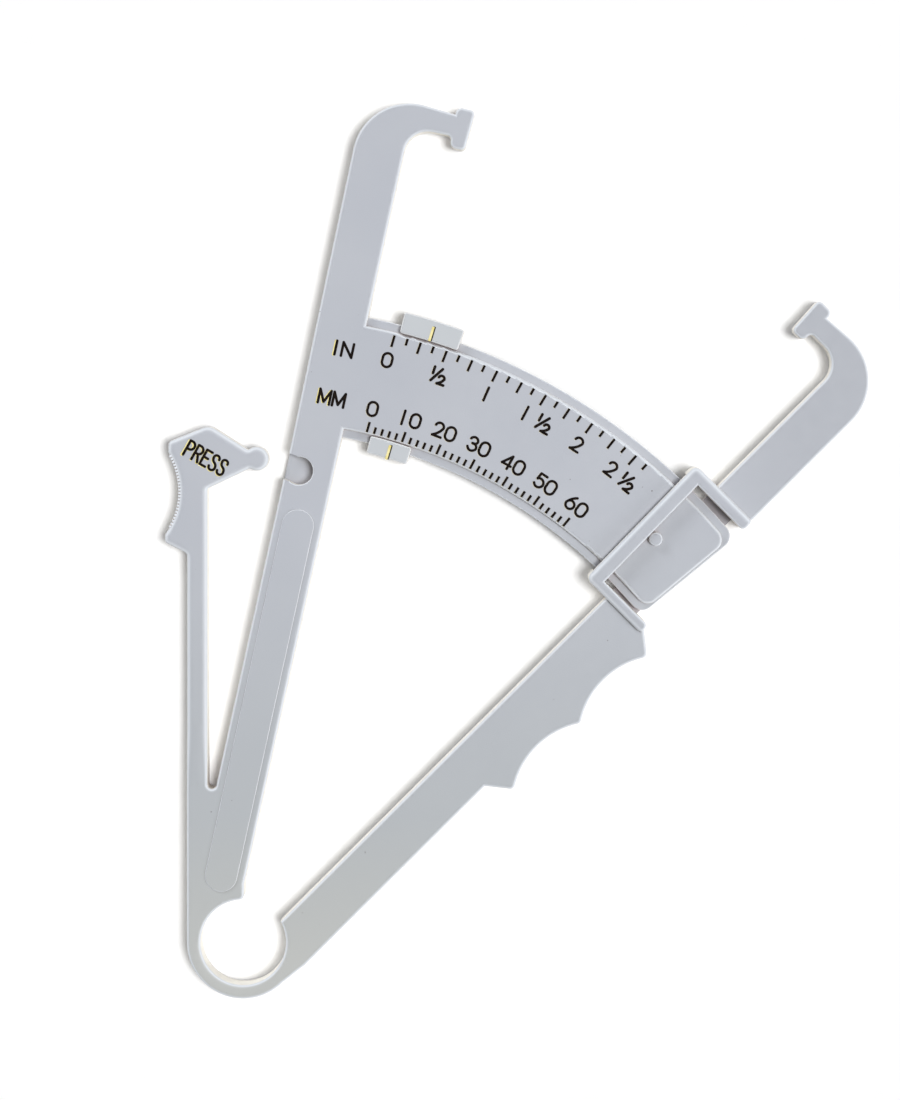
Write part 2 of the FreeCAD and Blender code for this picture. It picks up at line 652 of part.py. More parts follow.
# The marker clips round the plate: a strip behind it, a side past each flange and a tab on each
# flange. Its frame's Y axis is its middle line, and it turns about the hinge centre as it slides.
def make_marker():
    body = new_body("marker", "Sizes.inch_zero_angle + Sizes.marker_reading")
    clearance = size("marker_clearance")
    top = FACE_OUTER + size("marker_upper_depth")
    bottom = FACE_INNER - size("marker_lower_depth")
    upper = (at_rest(top), size("marker_upper_end"))
    lower = (at_rest(FACE_INNER), size("marker_lower_end"))
    margin = size("marker_back_margin")
    strip = "Sizes.plate_lift - Sizes.marker_clearance - Sizes.marker_back_lift"
    lift = "Sizes.marker_back_lift"
    whole = "Sizes.marker_front - Sizes.marker_back_lift"
    flange_front = "Sizes.plate_lift + Sizes.flange_thickness + Sizes.marker_clearance"
    tab = f"Sizes.marker_front - ({flange_front})"
    pad(body, "marker_back", sector(bottom, top, upper[0] + margin, lower[1] - margin), strip, lift)
    pad(body, "upper_side", sector(FLANGE_OUTER + clearance, top, *upper), whole, lift)
    pad(body, "lower_side", sector(bottom, FLANGE_INNER - clearance, *lower), whole, lift)
    pad(body, "upper_tab", sector(FACE_OUTER + clearance, top, *upper), tab, flange_front)
    pad(body, "lower_tab", sector(bottom, FACE_INNER - clearance, *lower), tab, flange_front)
    corners = [leaned(lean, 0, radius) for lean in upper for radius in (FACE_OUTER + clearance, top)]
    corners += [leaned(lean, 0, radius) for lean in lower for radius in (bottom, FACE_INNER - clearance)]
    round_edges(body, "tab_corners", lambda e: upright_at(e, corners), "Sizes.marker_corner_round")
    front = size("marker_front")
    round_edges(body, "tab_rounds", lambda e: lies_flat(e, front), "Sizes.marker_round")
    return body


def at_rest(radius):
    """Lean of the tabs' left ends from the middle line: at zero they stop short of the scale arm."""
    arm_edge = size("scale_arm_angle") - math.degrees(math.asin(INNER / radius))
    return arm_edge + size("marker_rest_gap") - size("inch_zero_angle")


# ---------------------------------------------------------------- ink

# Characters are drawn as pen strokes in a cell one unit high, then thickened. A stroke is a list
# of points; a middle point given as (x, y, "bend") makes an arc through it.
BEND = "bend"
CHARACTERS = {
    "0": (0.70, [[(0, 0.34), (0.35, 0, BEND), (0.70, 0.34), (0.70, 0.66), (0.35, 1, BEND),
                  (0, 0.66), (0, 0.34)]]),
    "1": (0.66, [[(0.33, 0), (0.33, 1)]]),
    "2": (0.66, [[(0.02, 0.76), (0.33, 1, BEND), (0.63, 0.70), (0.55, 0.53, BEND), (0, 0),
                  (0.66, 0)]]),
    "3": (0.64, [[(0.02, 0.82), (0.36, 1, BEND), (0.58, 0.76), (0.50, 0.60, BEND), (0.24, 0.54),
                  (0.56, 0.46, BEND), (0.64, 0.28), (0.33, 0, BEND), (0, 0.20)]]),
    "4": (0.70, [[(0.53, 0), (0.53, 1), (0, 0.27), (0.70, 0.27)]]),
    "5": (0.64, [[(0.60, 1), (0.10, 1), (0.05, 0.55), (0.36, 0.65, BEND), (0.64, 0.32),
                  (0.31, 0, BEND), (0, 0.17)]]),
    "6": (0.66, [[(0.50, 1), (0.10, 0.55, BEND), (0, 0.31), (0.33, 0, BEND), (0.66, 0.31),
                  (0.33, 0.62, BEND), (0.03, 0.40)]]),
    "I": (0.50, [[(0.25, 0), (0.25, 1)]]),
    "N": (0.76, [[(0, 0), (0, 1), (0.76, 0), (0.76, 1)]]),
    "M": (0.82, [[(0, 0), (0, 1), (0.41, 0.12), (0.82, 1), (0.82, 0)]]),
    "P": (0.52, [[(0, 0), (0, 1), (0.26, 1), (0.52, 0.735, BEND), (0.26, 0.47), (0, 0.47)]]),
    "R": (0.52, [[(0, 0), (0, 1), (0.26, 1), (0.52, 0.735, BEND), (0.26, 0.47), (0, 0.47)],
                 [(0.26, 0.47), (0.52, 0)]]),
    "E": (0.48, [[(0.48, 1), (0, 1), (0, 0), (0.48, 0)], [(0, 0.52), (0.40, 0.52)]]),
    "S": (0.52, [[(0.50, 0.80), (0.27, 1, BEND), (0.04, 0.76), (0.12, 0.60, BEND), (0.27, 0.51),
                  (0.43, 0.41, BEND), (0.50, 0.26), (0.25, 0, BEND), (0, 0.19)]]),
    "½": (1.14, [[(0.14, 0.52), (0.14, 1.02)], [(0.14, -0.02), (0.74, 1.02)],
                 [(0.66, 0.38), (0.88, 0.54, BEND), (1.08, 0.34), (1.00, 0.20, BEND),
                  (0.62, -0.10), (1.14, -0.10)]]),
}
LETTER_GAP = 0.23


def thick_mark(left, right, tips):
    """A pen line between two long sides of points, start to end, with a round end at each tip."""
    edges = [Part.Arc(left[-1], tips[1], right[-1]), Part.Arc(right[0], tips[0], left[0])]
    for points in (left, right):
        edges.append(Part.Arc(*points) if len(points) == 3 else side(*points))
    return Part.Face(Part.Wire(Part.__sortEdges__([edge.toShape() for edge in edges])))


def straight_mark(start, end, width):
    along = (end - start).normalize() * (width / 2)
    across = Vector(-along.y, along.x, 0)
    return thick_mark([start + across, end + across], [start - across, end - across],
                      [start - along, end + along])


def curved_mark(start, bend, end, width):
    bow = Part.Arc(start, bend, end).toShape().Curve

    def offset(by):
        return [bow.Center + (p - bow.Center) * (1 + by / bow.Radius) for p in (start, bend, end)]

    tips = []
    for point in (start, end):
        spoke = (point - bow.Center).normalize()
        outward = Vector(-spoke.y, spoke.x, 0) * (width / 2)
        tips.append(point - outward if outward.dot(bend - point) > 0 else point + outward)
    return thick_mark(offset(width / 2), offset(-width / 2), tips)


def stroke_faces(points, width):
    """One face for each line or bend of a stroke."""
    faces = []
    here = Vector(*points[0][:2], 0)
    bend = None
    for x, y, *kind in points[1:]:
        spot = Vector(x, y, 0)
        if kind:
            bend = spot
            continue
        faces.append(curved_mark(here, bend, spot, width) if bend else straight_mark(here, spot, width))
        here, bend = spot, None
    return faces


def inked(text, height, stroke, share=1.0):
    """Solids of a line of text round the middle of its own frame, with its letters at a share of
    their width."""
    ink = Vector(0, 0, size("ink_thickness"))
    rise = height - stroke
    solids = []
    pen = 0.0
    for character in text:
        width, strokes = CHARACTERS[character]
        marks = []
        for points in strokes:
            scaled = [((x + pen) * rise * share, y * rise) + tuple(rest) for x, y, *rest in points]
            marks += [face.extrude(ink) for face in stroke_faces(scaled, stroke)]
        whole = marks[0].multiFuse(marks[1:]).removeSplitter() if len(marks) > 1 else marks[0]
        solids += whole.Solids
        pen += width + LETTER_GAP
    group = Part.makeCompound(solids)
    group.translate(Vector(-(pen - LETTER_GAP) * rise * share / 2, -rise / 2, 0))
    return group


def placed(shape, spot, level, lean):
    """Puts a print on a face, leaning clockwise."""
    turn = FreeCAD.Rotation(Vector(0, 0, 1), -lean)
    shape.Placement = FreeCAD.Placement(spot + Vector(0, 0, level), turn).multiply(shape.Placement)
    return shape


def print_node(name, shapes):
    feature = doc.addObject("Part::Feature", name)
    feature.Label = name
    feature.Shape = Part.makeCompound([solid for shape in shapes for solid in shape.Solids])
    return feature


def line_mark(spot, level, lean, length):
    half = size("tick_width") / 2
    mark = Part.makeBox(2 * half, length, size("ink_thickness"), Vector(-half, -length / 2, 0))
    return placed(mark, spot, level, lean)


EIGHTHS = 21
EIGHTHS_TO_A_LONG_TICK = 2
MILLIMETRE_STEPS = 30
STEPS_TO_A_LONG_TICK = 5


def tick(angle, middle, length):
    """A scale line, leaning a little more than the radius that it stands on."""
    return line_mark(leaned(angle, 0, middle), THICKNESS, angle + size("tick_lean"), length)


def make_inch_ticks():
    ticks = []
    for i in range(EIGHTHS + 1):
        angle = size("inch_zero_angle") + i * size("inch_step_angle")
        length = size("inch_tick_short") if i % EIGHTHS_TO_A_LONG_TICK else size("inch_tick_long")
        ticks.append(tick(angle, FACE_OUTER - size("inch_tick_inset") - length / 2, length))
    return print_node("inch_ticks", ticks)


def make_millimetre_ticks():
    ticks = []
    for i in range(MILLIMETRE_STEPS + 1):
        angle = size("millimetre_zero_angle") + i * size("millimetre_step_angle")
        short = size("millimetre_tick_short")
        length = short if i % STEPS_TO_A_LONG_TICK else size("millimetre_tick_long")
        ticks.append(tick(angle, FACE_INNER + size("millimetre_tick_inset") + length / 2, length))
    return print_node("millimetre_ticks", ticks)


def make_numerals(name, zero, radius, labels):
    prints = []
    for text, past_zero in labels:
        angle = zero + past_zero
        stroke = size("fraction_stroke") if text == "½" else size("numeral_stroke")
        word = inked(text, size("numeral_height"), stroke)
        prints.append(placed(word, leaned(angle, 0, radius), THICKNESS, angle))
    return print_node(name, prints)


def make_label(name, text, along):
    word = inked(text, size("numeral_height"), size("label_stroke"))
    lean = size("scale_arm_angle")
    spot = leaned(lean, -size("label_offset"), along)
    return print_node(name, [placed(word, spot, THICKNESS, lean)])


def make_press_word():
    word = inked("PRESS", size("press_text_height"), size("label_stroke"), size("press_text_width"))
    spot = BALL + Vector(-size("press_text_reach"), size("press_text_rise"), 0)
    return print_node("press_word", [placed(word, spot, THICKNESS, size("press_text_lean"))])


def make_index_lines():
    angle = size("inch_zero_angle") + size("marker_reading") + size("index_offset")
    upper = FACE_OUTER + size("marker_upper_depth") / 2 - size("index_inset")
    lower = FACE_INNER - size("marker_lower_depth") / 2 - size("index_inset")
    lines = []
    for lag, radius in [(0, upper), (size("marker_lower_lag"), lower)]:
        lean = angle - lag
        spot = leaned(lean, 0, radius)
        lines.append(line_mark(spot, size("marker_front"), lean, size("index_length")))
    return print_node("marker_index_lines", lines)


# printed numbers and where each is centred, in degrees past its scale's zero
INCH_LABELS = [("0", -0.1), ("½", 5.0), ("1", 9.9), ("1", 14.05), ("½", 16.1), ("2", 19.85),
               ("2", 23.85), ("½", 25.85)]
MILLIMETRE_LABELS = [("0", 0.0), ("10", 4.0), ("20", 7.9), ("30", 11.8), ("40", 15.85),
                     ("50", 19.8), ("60", 23.75)]

nodes = [
    make_hinge_ring(),
    make_scale_arm(),
    make_scale_plate(),
    make_stop_peg(),
    make_jaw("scale_jaw", "Sizes.scale_arm_angle", 1, PLATE_STOP, flared(PLATE_STOP),
             flared(HOOK_TOP)),
    make_guide_arm(),
    make_guide_frame(),
    make_jaw("guide_jaw", GUIDE_ANGLE_TEXT, -1, FRAME_STOP, 0, 0),
    make_lever_flexure(),
    make_press_lever(),
    make_marker(),
    make_inch_ticks(),
    make_numerals("inch_numerals", size("inch_zero_angle"),
                  FACE_OUTER - size("inch_numeral_inset"), INCH_LABELS),
    make_millimetre_ticks(),
    make_numerals("millimetre_numerals", size("millimetre_zero_angle"),
                  FACE_INNER + size("millimetre_numeral_inset"), MILLIMETRE_LABELS),
    make_label("inch_label", "IN", FACE_OUTER - size("inch_label_inset")),
    make_label("millimetre_label", "MM", FACE_INNER + size("millimetre_label_inset")),
    make_press_word(),
    make_index_lines(),
]
doc.recompute()

# ---------------------------------------------------------------- checks and export

for item in doc.Objects:
    if "Invalid" in item.State or "Error" in item.State:
        raise RuntimeError(f"{item.Label} failed: {item.State}")
for node in nodes:
    if node.Shape.isNull() or not node.Shape.isValid():
        raise RuntimeError(f"{node.Label} has no valid shape")

os.makedirs("parts", exist_ok=True)
for node in nodes:
    node.Shape.exportStep(f"parts/{node.Label}.step")
    print(node.Label, len(node.Shape.Solids), "solids", round(node.Shape.Volume, 2), "mm3")
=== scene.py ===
import math

import bmesh
import bpy
from mathutils import Matrix, Vector


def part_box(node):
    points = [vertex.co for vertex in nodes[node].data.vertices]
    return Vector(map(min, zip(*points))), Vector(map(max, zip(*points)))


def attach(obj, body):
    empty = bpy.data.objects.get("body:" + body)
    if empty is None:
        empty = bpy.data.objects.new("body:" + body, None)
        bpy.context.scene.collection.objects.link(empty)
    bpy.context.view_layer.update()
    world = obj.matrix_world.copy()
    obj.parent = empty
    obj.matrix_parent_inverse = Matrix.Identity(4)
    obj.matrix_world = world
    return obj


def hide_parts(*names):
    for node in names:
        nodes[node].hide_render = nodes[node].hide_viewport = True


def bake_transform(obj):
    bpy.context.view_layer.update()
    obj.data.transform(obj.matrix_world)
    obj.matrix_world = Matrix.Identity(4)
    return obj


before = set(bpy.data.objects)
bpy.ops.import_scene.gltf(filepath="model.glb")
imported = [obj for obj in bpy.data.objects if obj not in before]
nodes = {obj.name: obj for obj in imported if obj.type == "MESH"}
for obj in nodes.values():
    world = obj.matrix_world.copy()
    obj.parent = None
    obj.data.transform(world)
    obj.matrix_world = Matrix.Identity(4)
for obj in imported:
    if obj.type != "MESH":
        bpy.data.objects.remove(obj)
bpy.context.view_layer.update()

MM = 0.001


# ------------------------------------------------------------------ body moulding
# Both arms, both hooked jaws, the scale plate and the press lever are one injection moulding in
# grey polypropylene. The printed face comes off the mould's satin plate. The rounded rims carry a pale
# painted highlight, the walls an ivory painted light, and inward-turning corners a painted brown shade.
FACE_GREY = (0.372, 0.386, 0.424, 1)
FACE_GREY_PALE = (0.388, 0.401, 0.436, 1)
# Painted highlight: the pale colour of the rounded rims stands in for light catching them.
RIM_PAINTED_HIGHLIGHT = (0.630, 0.655, 0.695, 1)
# Painted light: the ivory on the walls stands in for light thrown onto them from the white table.
WALL_IVORY_PAINTED_LIGHT = (0.840, 0.810, 0.745, 1)

# Painted shading across the faces: painted shade deepens the grey on the guide arm's hook and low on
# the arms, turning it greener there, and painted light makes it paler at the ring. Each comes in along
# one axis, between the two places given.
HOOK_PAINTED_SHADE = (0.345, 0.357, 0.390, 1)
LOW_PAINTED_SHADE = (0.335, 0.352, 0.358, 1)
RING_PAINTED_LIGHT = (0.394, 0.399, 0.388, 1)
BODY_PAINTED_SHADING = (
    ("X", (78 * MM, 98 * MM), HOOK_PAINTED_SHADE),
    ("Y", (75 * MM, -5 * MM), LOW_PAINTED_SHADE),
    ("Y", (22 * MM, -4 * MM), RING_PAINTED_LIGHT),
)
CLOUD_SCALE = 60
CLOUD_BAND = (0.35, 0.65)

# How level the surface lies, where a wall turns into a rim and where a rim turns into a face.
WALL_TO_RIM = (0.10, 0.45)
RIM_TO_FACE = (0.80, 0.999)

# Corners that other walls close in, within this reach, take on the painted brown shade.
CORNER_PAINTED_SHADE = (0.330, 0.250, 0.245, 1)
CORNER_REACH = 3 * MM
CORNER_SAMPLES = 6
CORNER_BAND = (0.1, 0.55)
CORNER_SHARE = (0.3, 1.0)

# Specks in the plastic are the few places where fine noise passes this level.
SPECK_BROWN = (0.150, 0.135, 0.125, 1)
SPECK_SCALE = 1300
SPECK_DETAIL = 1
SPECK_LEVEL = 0.82
SPECK_EDGE = 0.03

# The satin is an uneven roughness, and a fine texture a few hundredths of a millimetre deep.
GRAIN_BAND = (0.3, 0.7)
SATIN_SCALE = 500
SATIN_ROUGHNESS = (0.46, 0.54)
SATIN_SPECULAR = 0.3
TEXTURE_SCALE = 5200
TEXTURE_STRENGTH = 0.35
TEXTURE_DEPTH = 0.04 * MM


def join(tree, socket, value):
    """Sets a socket to a value, or joins it to another node's output."""
    if isinstance(value, bpy.types.NodeSocket):
        tree.links.new(value, socket)
    else:
        socket.default_value = value


def add(tree, kind, **inputs):
    """A new shader node with those inputs. A space in an input's name is written as _ here."""
    node = tree.nodes.new(kind)
    for name, value in inputs.items():
        join(tree, node.inputs[name.replace("_", " ")], value)
    return node


def mixed(tree, share, first, second):
    """The first colour, turning into the second one as the share goes from 0 to 1."""
    node = tree.nodes.new("ShaderNodeMix")
    node.data_type = "RGBA"
    # a Mix node has its factor at input 0, its colours at inputs 6 and 7, and their mix at output 2
    for index, value in ((0, share), (6, first), (7, second)):
        join(tree, node.inputs[index], value)
    return node.outputs[2]


def spread(tree, value, band, result=(0, 1)):
    """A value inside the band, carried over to the result's range and held at its ends."""
    low, high = band
    result_low, result_high = result
    node = add(tree, "ShaderNodeMapRange", Value=value, From_Min=low, From_Max=high,
               To_Min=result_low, To_Max=result_high)
    return node.outputs[0]


def grain(tree, spot, scale, detail=2):
    """Even noise from 0 to 1 over the piece, finer as the scale goes up."""
    return add(tree, "ShaderNodeTexNoise", Vector=spot, Scale=scale, Detail=detail).outputs[0]


def roughened(tree, shader, spot, scale, strength, depth):
    """Gives the surface a fine texture as deep as that."""
    bump = add(tree, "ShaderNodeBump", Strength=strength, Distance=depth, Height=grain(tree, spot, scale))
    join(tree, shader.inputs["Normal"], bump.outputs[0])


def new_finish(name):
    """An empty material, with its node tree, its shader and the place on the piece."""
    finish = bpy.data.materials.new(name)
    finish.use_nodes = True
    tree = finish.node_tree
    spot = add(tree, "ShaderNodeTexCoord").outputs["Object"]
    return finish, tree, tree.nodes["Principled BSDF"], spot


def flatness(tree):
    """1 on faces that lie flat, 0 on upright walls, and in between on the rounded rims."""
    geometry = tree.nodes.new("ShaderNodeNewGeometry")
    split = add(tree, "ShaderNodeSeparateXYZ", Vector=geometry.outputs["Normal"])
    tilt = tree.nodes.new("ShaderNodeMath")
    tilt.operation = "ABSOLUTE"
    join(tree, tilt.inputs[0], split.outputs["Z"])
    return tilt.outputs[0]


def openness(tree):
    """1 where the surface is open to the room, and less in corners that other walls close in, where the
    painted shade goes.
    """
    node = add(tree, "ShaderNodeAmbientOcclusion", Distance=CORNER_REACH)
    node.samples = CORNER_SAMPLES
    return spread(tree, node.outputs["AO"], CORNER_BAND, CORNER_SHARE)


def moulded(name, face, face_pale, rim, wall, painted_shading=(), speck_level=SPECK_LEVEL):
    """Satin plastic with a cloudy face, painted shading along the given axes, a pale painted highlight on
    the rims, ivory painted light on the walls, painted shade in closed-in corners, and a few specks.
    """
    finish, tree, shader, spot = new_finish(name)
    face_colour = mixed(tree, spread(tree, grain(tree, spot, CLOUD_SCALE), CLOUD_BAND), face, face_pale)
    place = add(tree, "ShaderNodeSeparateXYZ", Vector=spot)
    # Painted shading: darker at the hook and low on the arms, paler at the ring, each along one axis.
    for axis, band, painted_shading_colour in painted_shading:
        face_colour = mixed(tree, spread(tree, place.outputs[axis], band), face_colour, painted_shading_colour)
    flat = flatness(tree)
    # Painted light by how level the surface lies: ivory painted light on the walls, a pale painted
    # highlight on the rims.
    edge_colour = mixed(tree, spread(tree, flat, WALL_TO_RIM), wall, rim)
    colour = mixed(tree, spread(tree, flat, RIM_TO_FACE), edge_colour, face_colour)
    # Painted shade: a brown shade painted into corners that other walls close in.
    colour = mixed(tree, openness(tree), CORNER_PAINTED_SHADE, colour)
    speck_band = (speck_level, speck_level + SPECK_EDGE)
    specks = spread(tree, grain(tree, spot, SPECK_SCALE, SPECK_DETAIL), speck_band)
    join(tree, shader.inputs["Base Color"], mixed(tree, specks, colour, SPECK_BROWN))
    join(tree, shader.inputs["Roughness"],
         spread(tree, grain(tree, spot, SATIN_SCALE), GRAIN_BAND, SATIN_ROUGHNESS))
    shader.inputs["Specular IOR Level"].default_value = SATIN_SPECULAR
    roughened(tree, shader, spot, TEXTURE_SCALE, TEXTURE_STRENGTH, TEXTURE_DEPTH)
    return finish


def dress(finish, *names):
    """Gives that finish to CAD nodes."""
    for name in names:
        nodes[name].material_slots[0].material = finish


body_plastic = moulded("body_plastic", FACE_GREY, FACE_GREY_PALE, RIM_PAINTED_HIGHLIGHT, WALL_IVORY_PAINTED_LIGHT, BODY_PAINTED_SHADING)
dress(body_plastic, "scale_arm", "scale_plate", "stop_peg", "scale_jaw", "guide_arm", "guide_frame",
      "guide_jaw", "press_lever")


# ------------------------------------------------------------------ hinge ring
# The spring between the arms: a C-shaped strip of the same moulding that opens and closes as the
# arms turn about its centre. Here it is built as one still piece, its rims rounded like those of the
# arms.
ring_low, ring_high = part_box("hinge_ring")
BODY_THICKNESS = ring_high.z
RING_OUTER_RADIUS = -ring_low.x
RING_HOLE_RADIUS = min(vert.co.xy.length for vert in nodes["hinge_ring"].data.vertices)
RING_START = math.radians(180)
RING_SWEEP = math.radians(134.85)
RING_STEPS = 96
RIM_ROUND = 0.6 * MM
RIM_STEPS = 5
QUARTER_TURN = math.radians(90)
MERGE_REACH = 0.0001 * MM
CREASE_ANGLE = math.radians(35)


def rounded_section(mesh, width, height, middle):
    """A rectangle across X and Z with rounded corners, as one face, ready to be drawn out."""
    size = Matrix.Diagonal((width, 1, height, 1))
    upright = Matrix.Rotation(QUARTER_TURN, 4, "X")
    made = bmesh.ops.create_grid(mesh, x_segments=1, y_segments=1, size=1 / 2,
                                 matrix=Matrix.Translation(middle) @ size @ upright)
    bmesh.ops.bevel(mesh, geom=made["verts"], offset=RIM_ROUND, affect="VERTICES",
                    segments=RIM_STEPS, profile=0.5, material=-1, offset_type="OFFSET")
    return mesh.faces[:] + mesh.edges[:] + mesh.verts[:]


def finished(mesh, name, finish):
    """Closes the mesh, turns its faces outward and makes it a smooth piece with that finish."""
    bmesh.ops.remove_doubles(mesh, verts=mesh.verts[:], dist=MERGE_REACH)
    bmesh.ops.recalc_face_normals(mesh, faces=mesh.faces[:])
    data = bpy.data.meshes.new(name)
    mesh.to_mesh(data)
    mesh.free()
    data.materials.append(finish)
    data.shade_smooth()
    data.set_sharp_from_angle(angle=CREASE_ANGLE)
    piece = bpy.data.objects.new(name, data)
    bpy.context.scene.collection.objects.link(piece)
    return piece


ring_width = RING_OUTER_RADIUS - RING_HOLE_RADIUS
ring_middle = (RING_OUTER_RADIUS + RING_HOLE_RADIUS) / 2
ring_mesh = bmesh.new()
section = rounded_section(ring_mesh, ring_width, BODY_THICKNESS, (ring_middle, 0, BODY_THICKNESS / 2))
bmesh.ops.rotate(ring_mesh, verts=ring_mesh.verts[:], cent=(0, 0, 0),
                 matrix=Matrix.Rotation(RING_START, 3, "Z"))
bmesh.ops.spin(ring_mesh, geom=section, cent=(0, 0, 0), axis=(0, 0, 1), angle=RING_SWEEP,
               steps=RING_STEPS, use_duplicate=False)
hinge_ring = finished(ring_mesh, "hinge_ring_spring", body_plastic)
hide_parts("hinge_ring")
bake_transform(hinge_ring)


# ------------------------------------------------------------------ press lever's root
# The lever is part of the moulding too. The foot of its slim arm is a strip that bends when the grip
# is pressed; here it is built straight. The strip's rims widen from those of the arm below to those of
# the lever above.
strip_low, strip_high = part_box("lever_flexure")
STRIP_STEPS = 26
LEVER_ROUND = 1.0 * MM

strip_middle = (strip_low + strip_high) / 2
strip_size = strip_high - strip_low
strip_mesh = bmesh.new()
section = rounded_section(strip_mesh, strip_size.x, strip_size.z,
                          (strip_middle.x, strip_low.y, strip_middle.z))
bmesh.ops.spin(strip_mesh, geom=section, cent=(0, 0, 0), axis=(0, 0, 1), angle=0, steps=STRIP_STEPS,
               dvec=(0, strip_size.y / STRIP_STEPS, 0), use_duplicate=False)
for vert in strip_mesh.verts:
    climbed = (vert.co.y - strip_low.y) / strip_size.y
    eased = climbed * climbed * (3 - 2 * climbed)
    growth = 1 + (LEVER_ROUND / RIM_ROUND - 1) * eased
    corner_x = strip_low.x if vert.co.x < strip_middle.x else strip_high.x
    corner_z = strip_low.z if vert.co.z < strip_middle.z else strip_high.z
    vert.co.x = corner_x + (vert.co.x - corner_x) * growth
    vert.co.z = corner_z + (vert.co.z - corner_z) * growth
lever_root = finished(strip_mesh, "lever_root_strip", body_plastic)
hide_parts("lever_flexure")
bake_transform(lever_root)


# ------------------------------------------------------------------ thumb ribs
# Fine upright ribs in the hollow of the press lever's grip, where the thumb pushes. They are moulded
# with the lever, and their tops carry the same pale painted highlight as its rims.
HOLLOW_CENTRE = Vector((-23.8, 78.8, 0)) * MM
HOLLOW_RADIUS = 12.6 * MM
RIB_WIDTH = 0.32 * MM
RIB_PROUD = 0.15 * MM
RIB_BACK = 0.34 * MM
RIB_MARGIN = 0.3 * MM
RIB_COUNT = 24
RIB_SPREAD = math.radians(58)

rib_size = Matrix.Diagonal((RIB_BACK + RIB_PROUD, RIB_WIDTH, BODY_THICKNESS - 2 * RIB_MARGIN, 1))
rib_spot = Matrix.Translation((HOLLOW_RADIUS + (RIB_BACK - RIB_PROUD) / 2, 0, BODY_THICKNESS / 2))
rib_mesh = bmesh.new()
for count in range(RIB_COUNT):
    turn = Matrix.Rotation(RIB_SPREAD * (count / (RIB_COUNT - 1) - 1 / 2), 4, "Z")
    bmesh.ops.create_cube(rib_mesh, size=1,
                          matrix=Matrix.Translation(HOLLOW_CENTRE) @ turn @ rib_spot @ rib_size)
# The ribs take the rims' painted highlight all over, and the ivory painted wall light on their sides.
rib_plastic_painted_highlight = moulded("rib_plastic_painted_highlight", RIM_PAINTED_HIGHLIGHT, RIM_PAINTED_HIGHLIGHT, RIM_PAINTED_HIGHLIGHT, WALL_IVORY_PAINTED_LIGHT)
thumb_ribs = finished(rib_mesh, "thumb_ribs", rib_plastic_painted_highlight)
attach(thumb_ribs, "lever")


# ------------------------------------------------------------------ sliding marker
# A second, paler moulding that clips round the scale plate and is pushed along it. It stays at the
# largest reading.
MARKER_GREY = (0.425, 0.443, 0.464, 1)
MARKER_GREY_PALE = (0.445, 0.462, 0.482, 1)
# Painted light, as on the body: a pale painted highlight on the marker's rims and ivory painted light on
# its walls.
MARKER_RIM_PAINTED_HIGHLIGHT = (0.68, 0.69, 0.70, 1)
MARKER_WALL_PAINTED_LIGHT = (0.86, 0.82, 0.74, 1)
MARKER_SPECK_LEVEL = 0.83

marker_plastic = moulded("marker_plastic", MARKER_GREY, MARKER_GREY_PALE, MARKER_RIM_PAINTED_HIGHLIGHT, MARKER_WALL_PAINTED_LIGHT,
                         speck_level=MARKER_SPECK_LEVEL)
dress(marker_plastic, "marker")


# ------------------------------------------------------------------ ink
# Scales, numbers and words are hot-stamped in black-brown foil. Its carrier shows as a thin fringe
# beside the strokes, gold at the words and cream along the scales. The marker's two index lines are
# gold foil, with a black fringe on their right.
FOIL_BLACK = (0.003, 0.002, 0.002, 1)
FOIL_BROWN = (0.013, 0.008, 0.005, 1)
BLACK_ROUGHNESS = 0.6
GOLD_DEEP = (0.66, 0.56, 0.20, 1)
GOLD_PALE = (0.78, 0.70, 0.38, 1)
GOLD_ROUGHNESS = 0.35
CREAM_DEEP = (0.55, 0.48, 0.34, 1)
CREAM_PALE = (0.66, 0.62, 0.52, 1)
CREAM_ROUGHNESS = 0.4
PATCH_SCALE = 1600
PATCH_DETAIL = 3
PATCH_BAND = (0.35, 0.7)
FOIL_SCALE = 2500
FOIL_ROUGHNESS_RISE = 0.15
FOIL_SPECULAR = 0.05
FOIL_TEXTURE_SCALE = 4000
FOIL_TEXTURE_STRENGTH = 0.2
FOIL_TEXTURE_DEPTH = 0.02 * MM
FRINGE_HEIGHT = 0.6

# How far each fringe lies beside its print, and the place in X that parts a word's first letter from
# the others.
INCH_LABEL_SHIFT = (-0.20 * MM, -0.02 * MM)
MILLIMETRE_LABEL_SHIFT = (-0.16 * MM, -0.02 * MM)
PRESS_FIRST_SHIFT = (-0.24 * MM, -0.02 * MM)
PRESS_SHIFT = (-0.11 * MM, -0.08 * MM)
SCALE_SHIFT = (-0.07 * MM, -0.03 * MM)
INDEX_SHIFT = (0.22 * MM, 0.02 * MM)
INCH_FIRST_END = 17.2 * MM
MILLIMETRE_FIRST_END = 15.5 * MM
PRESS_FIRST_END = -8.7 * MM


def stamped(name, first, second, roughness):
    """Foil that changes between two shades in patches."""
    finish, tree, shader, spot = new_finish(name)
    patches = spread(tree, grain(tree, spot, PATCH_SCALE, PATCH_DETAIL), PATCH_BAND)
    join(tree, shader.inputs["Base Color"], mixed(tree, patches, first, second))
    roughness_span = (roughness, roughness + FOIL_ROUGHNESS_RISE)
    join(tree, shader.inputs["Roughness"],
         spread(tree, grain(tree, spot, FOIL_SCALE), GRAIN_BAND, roughness_span))
    shader.inputs["Specular IOR Level"].default_value = FOIL_SPECULAR
    roughened(tree, shader, spot, FOIL_TEXTURE_SCALE, FOIL_TEXTURE_STRENGTH, FOIL_TEXTURE_DEPTH)
    return finish


